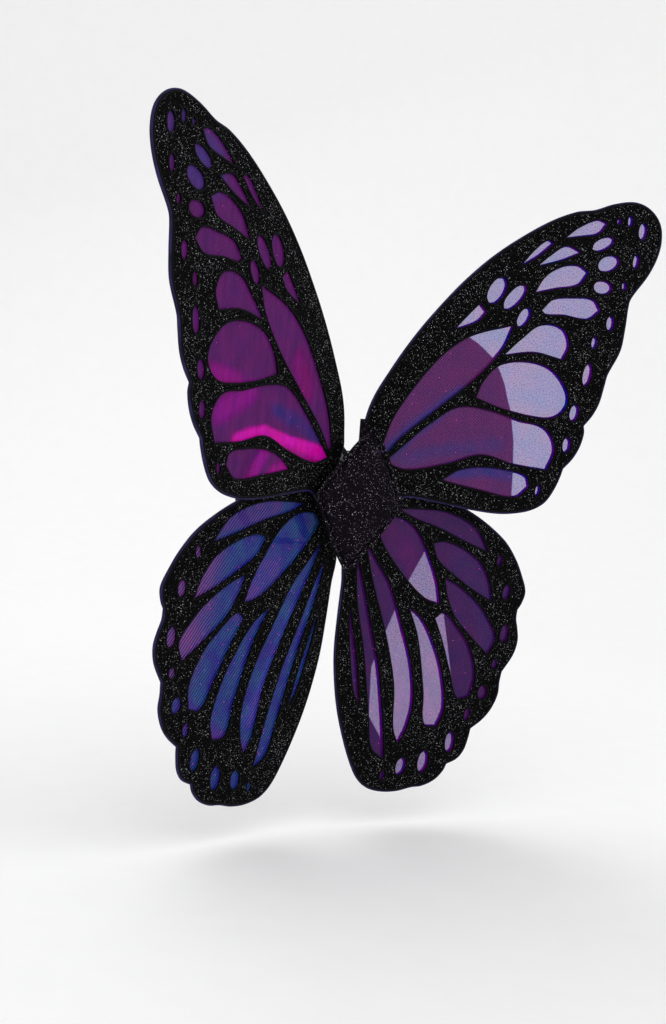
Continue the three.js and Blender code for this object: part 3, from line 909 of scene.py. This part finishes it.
def add_wire(put, name, side, inset, hinge):
    """Steel wire round the wing, closed by a straight run along the hinge."""
    hinge = [np.array((side * x, z)) * MM for x, z in hinge]
    near = [nearest(inset, spot) for spot in hinge]
    ends = [foot(inset[i], hinge) for i in near]
    mesh = swept(name, root_run(inset, near, ends), round_section(WIRE["radius"] * MM, 10))
    put("wire_drawn", mesh, "steel_wire", LOOKS["steel"], "wire")


def nearest(points, spot):
    """Index of the point nearest to the spot."""
    return min(range(len(points)), key=lambda i: np.linalg.norm(points[i] - spot))


def foot(point, line):
    """Nearest point of a line to a point, both in the plane."""
    start, end = line
    way = (end - start) / np.linalg.norm(end - start)
    return start + way * np.dot(point - start, way)


def root_run(inset, near, ends):
    """The longer part of the inset outline between two of its points, then the two ends."""
    first, last = near
    way_round = inset[first:] + inset[:first]
    stop = (last - first) % len(inset)
    one, other = way_round[: stop + 1], way_round[stop:] + way_round[:1]
    if len(one) > len(other):
        return [*one, ends[1], ends[0]]
    return [*other, ends[0], ends[1]]


def joined(meshes):
    """One mesh of several."""
    whole = bmesh.new()
    for mesh in meshes:
        whole.from_mesh(mesh)
    whole.to_mesh(meshes[0])
    whole.free()
    for mesh in meshes[1:]:
        bpy.data.meshes.remove(mesh)
    return meshes[0]


# ---- pads -----------------------------------------------------------------------------


def rim(turn, scale=1.0, grow=0.0):
    """Point of the rounded diamond at a turn, in metres."""
    power = 2 / PAD["squareness"]
    x = PAD["half_width"] * math.copysign(abs(math.cos(turn)) ** power, math.cos(turn))
    z = PAD["half_height"] * math.copysign(abs(math.sin(turn)) ** power, math.sin(turn))
    out = np.array((x / PAD["half_width"] ** 2, z / PAD["half_height"] ** 2))
    out = out / np.linalg.norm(out)
    return (np.array((x, z)) * scale + out * grow) * MM


def rim_points(count, scale=1.0, grow=0.0):
    """The rounded diamond as a closed run of points."""
    return [rim(2 * math.pi * i / count, scale, grow) for i in range(count)]


def inflated(mesh, name, swell):
    """The mesh remeshed and swollen as cloth under pressure, each point kept within the cap."""
    piece = link(name, mesh)
    remesh = piece.modifiers.new("remesh", "REMESH")
    remesh.mode = "VOXEL"
    remesh.voxel_size = swell["voxel"] * MM
    apply_modifiers(piece)
    start = [v.co.copy() for v in piece.data.vertices]
    run_cloth(piece, swell["pressure"])
    cap = swell["cap"] * MM
    for vert, rest in zip(piece.data.vertices, start):
        moved = vert.co - rest
        if moved.length > cap:
            vert.co = rest + moved * (cap / moved.length)
    piece.modifiers.new("smooth", "SUBSURF").levels = 1
    apply_modifiers(piece)
    piece.data.shade_smooth()
    return piece


def run_cloth(piece, pressure):
    """Cloth simulation with pressure from inside and no gravity."""
    cloth = piece.modifiers.new("cloth", "CLOTH")
    cloth.settings.use_pressure = True
    cloth.settings.uniform_pressure_force = pressure
    cloth.settings.effector_weights.gravity = 0
    scene = bpy.context.scene
    for step in range(1, CLOTH_STEPS + 1):
        scene.frame_set(step)
    apply_modifiers(piece)
    scene.frame_set(1)


def apply_modifiers(piece):
    """Replaces the piece's mesh with the one its modifiers make."""
    seen = piece.evaluated_get(bpy.context.evaluated_depsgraph_get())
    mesh = bpy.data.meshes.new_from_object(seen)
    old = piece.data
    piece.modifiers.clear()
    piece.data = mesh
    bpy.data.meshes.remove(old)


def pad_set():
    """How the sewn pad sits: turned, its top pitched forward, leaning and a little to one side."""
    lean = Matrix.Identity(4)
    lean[0][2] = PAD_SET["lean"]
    tilt = Matrix.Rotation(math.radians(PAD_SET["tilt"]), 4, "Y")
    pitch = Matrix.Rotation(math.radians(PAD_SET["pitch"]), 4, "X")
    yaw = Matrix.Rotation(math.radians(PAD_SET["yaw"]), 4, "Z")
    return Matrix.Translation(Vector(PAD_SET["shift"]) * MM) @ yaw @ tilt @ pitch @ lean


def front_pad():
    """Crowned diamond pad that swells inside its edge."""
    crown, base = (PAD["crown"] - SWELL["front_pad"]["cap"]) * MM, PAD["y"] * MM
    rings = []
    for scale in (0.04, 0.2, 0.4, 0.6, 0.75, 0.87, 0.95, 1.0):
        y = base - crown * (1 - scale**2.7) ** 0.7
        rings.append([(x, y, z) for x, z in rim_points(72, scale, 0.8 * scale)])
    back, deep = PAD_BACK["scale"], PAD_BACK["depth"]
    for scale, y in ((0.98, 0.6), (back, 1.4), (back - 0.02, deep - 0.2), (0.04, deep)):
        rings.append([(x, base + y * MM, z) for x, z in rim_points(72, scale)])
    piece = inflated(tube("front_pad", rings), "front_pad", SWELL["front_pad"])
    pucker(piece)
    piece.data.transform(pad_set())
    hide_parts("front_pad_cover", "front_pad_foam")
    finished(piece, "harness", LOOKS["pad"])


def front_piping():
    """Piped edge round the front pad."""
    section = round_section(PIPING["radius"] * MM, 12, (PAD["y"] - PIPING["forward"]) * MM)
    piping = link("front_piping", swept("front_piping", rim_points(180, 1, PIPING["out"]), section))
    piping.data.transform(pad_set())
    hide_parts("front_pad_piping")
    finished(piping, "harness", LOOKS["piping"])


def pucker(piece):
    """Small gathers where the cover meets its piping, and a soft uneven surface."""
    base = PAD["y"] * MM
    for vert in piece.data.vertices:
        x, y, z = vert.co
        turn = math.atan2(z / PAD["half_height"], x / PAD["half_width"])
        edge = rim(turn)
        reach = min(1.0, math.hypot(x, z) / max(1e-6, np.linalg.norm(edge)))
        gather = math.sin(turn * 46 + 3 * noise.noise(Vector((x, 0, z)) * 60))
        uneven = noise.noise(Vector((x, 0, z)) * 70)
        if y < base:
            vert.co.y += MM * (0.22 * gather * max(0, reach - 0.6) / 0.4 + 0.45 * uneven * (1 - reach))
            vert.co.y = max(vert.co.y, (PAD["y"] - PAD["crown"] - 0.8) * MM)
        else:
            vert.co.y = min(vert.co.y, base + PAD_BACK["depth"] * MM)


def rear_pad():
    """Thin cushion that rests flat on the wearer's back."""
    size, depth = REAR_PAD["scale"], REAR_PAD["depth"] * MM
    rings = []
    for scale, share in ((0.04, 1), (0.4, 0.99), (0.7, 0.92), (0.88, 0.75), (0.97, 0.45)):
        rings.append([(x, -depth * share, z) for x, z in rim_points(72, scale * size)])
    for scale, y in ((1.0, -0.9), (0.985, -0.3), (0.95, 0), (0.5, 0), (0.04, 0)):
        rings.append([(x, y * MM, z) for x, z in rim_points(72, scale * size)])
    piece = inflated(tube("rear_pad", rings), "rear_pad", SWELL["rear_pad"])
    for vert in piece.data.vertices:
        vert.co.y = min(vert.co.y, 0.25 * MM)
    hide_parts("rear_pad_cover")
    finished(piece, "harness", LOOKS["fabric"])


def wrapped_foam(name):
    """A CAD foam block with soft edges under its wrap."""
    foam = inflated(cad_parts[name].data.copy(), name + "_wrapped", SWELL["foam"])
    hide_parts(name)
    finished(foam, "harness", LOOKS["foam"])


# ---- straps ----------------------------------------------------------------------------


def strap_section():
    """Flat webbing with rounded edges: [across, deep] points in millimetres."""
    half, thin = STRAP["width"] / 2, STRAP["thickness"] / 2
    one_side = [(-half + 0.3, -thin), (-half + 0.9, -thin * 0.86), (0, -thin)]
    one_side += [(half - 0.9, -thin * 0.86), (half - 0.3, -thin)]
    other_side = [(across, -deep) for across, deep in reversed(one_side)]
    return [(-half, 0), *one_side, (half, 0), *other_side]


def strap(word):
    """Elastic webbing that follows its loop, with its own length stored for the weave."""
    side = SIDES[word]
    run = spline([np.array(p, dtype=float) for p in STRAP_RUN], 2.5)
    section = strap_section()
    rings, lengths = [], [0.0]
    for i, point in enumerate(run):
        if i:
            lengths.append(lengths[-1] + float(np.linalg.norm(point - run[i - 1])))
        way = outward(run, i, False)
        middle = STRAP["x"] + STRAP["splay"] * max(0.0, point[0] - STRAP["splay_from"])
        spots = [(middle + across, point + way * deep) for across, deep in section]
        rings.append([(side * x * MM, spot[0] * MM, spot[1] * MM) for x, spot in spots])
    mesh = tube(word + "_webbing", rings)
    layer = mesh.uv_layers.new(name="run")
    for loop in mesh.loops:
        ring, j = divmod(loop.vertex_index, len(section))
        layer.data[loop.index].uv = (section[j][0], lengths[ring])
    mesh.shade_smooth()
    piece = link(word + "_webbing", mesh)
    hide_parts(word + "_strap")
    finished(piece, "harness", LOOKS["elastic"])


# ---- carried-over CAD pieces ---------------------------------------------------------------

# The look of each kind of carried-over piece.
CARRIED = {
    "core_board": "board",
    "root_casing": "fabric",
    "top_tab": "pad",
    "slider": "plastic",
    "front_pad_lining": "pad",
}


def carried_over():
    """CAD pieces whose shape is right: softened edges and a real material."""
    for name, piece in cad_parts.items():
        look = next((value for key, value in CARRIED.items() if key in name), None)
        if look is None:
            continue
        piece.data.materials.clear()
        piece.data.materials.append(LOOKS[look])
        bevel = piece.modifiers.new("soft_edges", "BEVEL")
        bevel.width = (0.6 if look in ("plastic", "fabric") else 0.3) * MM
        bevel.segments = 3
        bevel.limit_method = "ANGLE"
        bevel.angle_limit = math.radians(35)


LOOKS = {
    "glitter": glitter("black_glitter_cloth", (0.0008, 0.0008, 0.001, 1), (0.66, 0.66, 0.69, 1), 0.042),
    "pad": glitter("pad_glitter_cloth", (0.003, 0.002, 0.004, 1), (0.50, 0.42, 0.56, 1), 0.045),
    "piping": glitter("piping_glitter_cloth", (0.003, 0.002, 0.004, 1), (0.62, 0.58, 0.66, 1), 0.06),
    "lip": satin("satin_lip", (0.0012, 0.0012, 0.0018, 1), 0.55),
    "edge": iridescent_edge("rolled_film_edge"),
    "steel": steel(),
    "fabric": woven("black_fabric_weave", (0.004, 0.004, 0.0045, 1), 0.8),
    "foam": woven("foam_wrap_weave", (0.006, 0.006, 0.0065, 1), 1.1),
    "board": woven("stiff_board_fibre", (0.02, 0.02, 0.022, 1), 2.3),
    "elastic": elastic(),
    "plastic": plastic(),
}

make_world()
make_camera()
make_stage()
for name, light in LIGHTS.items():
    make_light(name, **light)
for level in WINGS:
    for word in SIDES:
        wing(level, word)
front_pad()
front_piping()
rear_pad()
for name in ("rear_pad_foam", "filler_wedge"):
    wrapped_foam(name)
for word in SIDES:
    strap(word)
carried_over()
